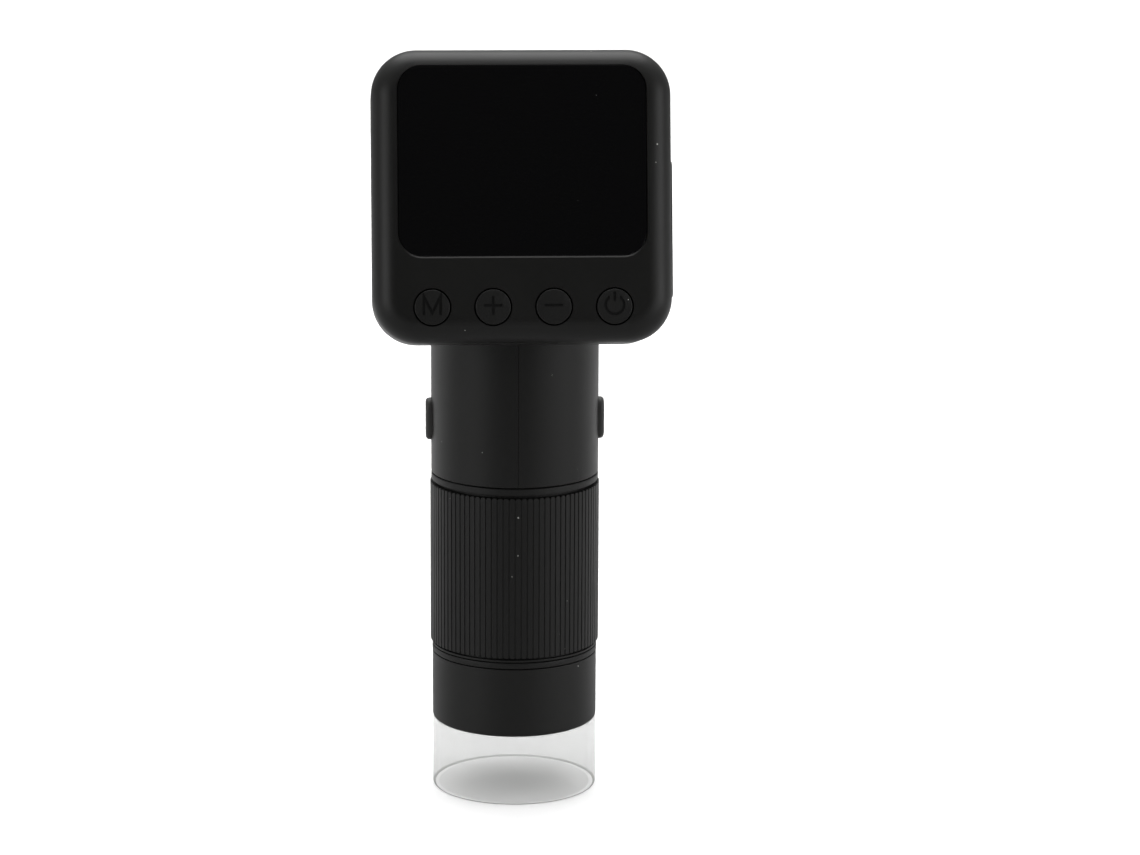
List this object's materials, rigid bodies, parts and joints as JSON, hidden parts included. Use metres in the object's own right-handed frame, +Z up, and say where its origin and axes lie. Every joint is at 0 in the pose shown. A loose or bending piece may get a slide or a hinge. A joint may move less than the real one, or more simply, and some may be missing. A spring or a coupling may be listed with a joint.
{
  "type": "digital microscope",
  "caption": "Handheld digital microscope: a round tube with a ribbed focus ring and a clear hood below, side keys, and a tilted screen head with round face buttons.",
  "frame": {"origin": "centre of the clear hood's mouth, in the plane the microscope stands on", "axes": "+Z up the tube's axis, -Y out of the screen's side, +X to the side with the ports"},
  "size_m": [0.0574, 0.0572, 0.1523],
  "materials": {
    "clear_hood": "clear, lightly frosted",
    "shell_black": "satin, fine grain",
    "ring_black": "satin",
    "key_black": "satin",
    "button_black": "satin, with sunk marks",
    "window_dark": "polished, dark tinted",
    "panel_black": "satin",
    "display_dark": "glossy",
    "foam_black": "matte foam",
    "tray_white": "matte",
    "board_green": "lacquered",
    "chip_black": "matte",
    "switch_black": "matte",
    "lamp_clear": "clear",
    "reflector_white": "matte",
    "disc_clear": "clear",
    "inner_black": "matte",
    "washer_white": "smooth",
    "lens_glass": "coated, polished",
    "ring_metal": "black anodised",
    "pin_brass": "turned",
    "cell_wrap": "sleeved can",
    "cradle_grey": "matte",
    "sensor_dark": "coated",
    "socket_steel": "bright plated",
    "screw_steel": "zinc plated",
    "cable_amber": "polyimide film",
    "lead_red": "soft insulation"
  },
  "bodies": {
    "body": {"lower_barrel": "shell_black", "window_disc": "disc_clear", "lamp_reflector": "reflector_white", "lamp_board": "board_green", "lamps": "lamp_clear", "light_shield": "inner_black", "inner_sleeve": "inner_black", "ring_washers": "washer_white", "upper_barrel_left": "shell_black", "upper_barrel_right": "shell_black", "barrel_screws": "screw_steel", "side_boards": "board_green", "side_switches": "switch_black", "battery_cell": "cell_wrap", "battery_cradle": "cradle_grey", "sensor_board": "board_green", "image_sensor": "sensor_dark", "sensor_screws": "screw_steel", "head_front_shell": "shell_black", "head_rear_shell": "shell_black", "screen_window": "window_dark", "screen_gasket": "foam_black", "lcd_panel": "display_dark", "lcd_tray": "tray_white", "main_board": "board_green", "board_chips": "chip_black", "face_switches": "switch_black", "port_panel": "panel_black", "usb_c_socket": "socket_steel", "card_socket": "socket_steel", "head_screws": "screw_steel", "neck_screws": "screw_steel", "sensor_cable": "cable_amber", "lamp_cable": "cable_amber", "battery_leads": "lead_red"},
    "hood": {"hood": "clear_hood"},
    "focus_ring": {"ring_core": "ring_black", "focus_grip": "ring_black", "trim_ring": "ring_black"},
    "lens_carriage": {"lens_carriage": "inner_black", "front_lens": "lens_glass", "rear_lens": "lens_glass", "lens_rings": "ring_metal", "guide_pins": "pin_brass"},
    "button_mode": {"button_mode": "button_black"},
    "button_plus": {"button_plus": "button_black"},
    "button_minus": {"button_minus": "button_black"},
    "button_power": {"button_power": "button_black"},
    "left_key": {"left_key": "key_black"},
    "right_key": {"right_key": "key_black"}
  },
  "joints": [
    {"name": "hood_slide", "type": "slide", "parent": "body", "child": "hood", "axis": [0, 0, -1], "range_m": [0, 0.0036]},
    {"name": "focus_turn", "type": "hinge", "parent": "body", "child": "focus_ring", "pos_m": [0, 0, 0.0465], "axis": [0, 0, 1], "range_deg": [-150, 150]},
    {"name": "carriage_slide", "type": "slide", "parent": "body", "child": "lens_carriage", "axis": [0, 0, 1], "range_m": [-0.00901, 0.00901]},
    {"name": "mode_press", "type": "slide", "parent": "body", "child": "button_mode", "axis": [0, 0.9744, -0.225], "range_m": [0, 0.0005], "stiffness_N_per_m": 2500},
    {"name": "plus_press", "type": "slide", "parent": "body", "child": "button_plus", "axis": [0, 0.9744, -0.225], "range_m": [0, 0.0005], "stiffness_N_per_m": 2500},
    {"name": "minus_press", "type": "slide", "parent": "body", "child": "button_minus", "axis": [0, 0.9744, -0.225], "range_m": [0, 0.0005], "stiffness_N_per_m": 2500},
    {"name": "power_press", "type": "slide", "parent": "body", "child": "button_power", "axis": [0, 0.9744, -0.225], "range_m": [0, 0.0005], "stiffness_N_per_m": 2500},
    {"name": "left_key_press", "type": "slide", "parent": "body", "child": "left_key", "axis": [1, 0, 0], "range_m": [0, 0.0006], "stiffness_N_per_m": 2500},
    {"name": "right_key_press", "type": "slide", "parent": "body", "child": "right_key", "axis": [-1, 0, 0], "range_m": [0, 0.0006], "stiffness_N_per_m": 2500}
  ],
  "couplings": [
    {"joint": "carriage_slide", "follows": "focus_turn", "m_per_rad": -0.0034377}
  ]
}
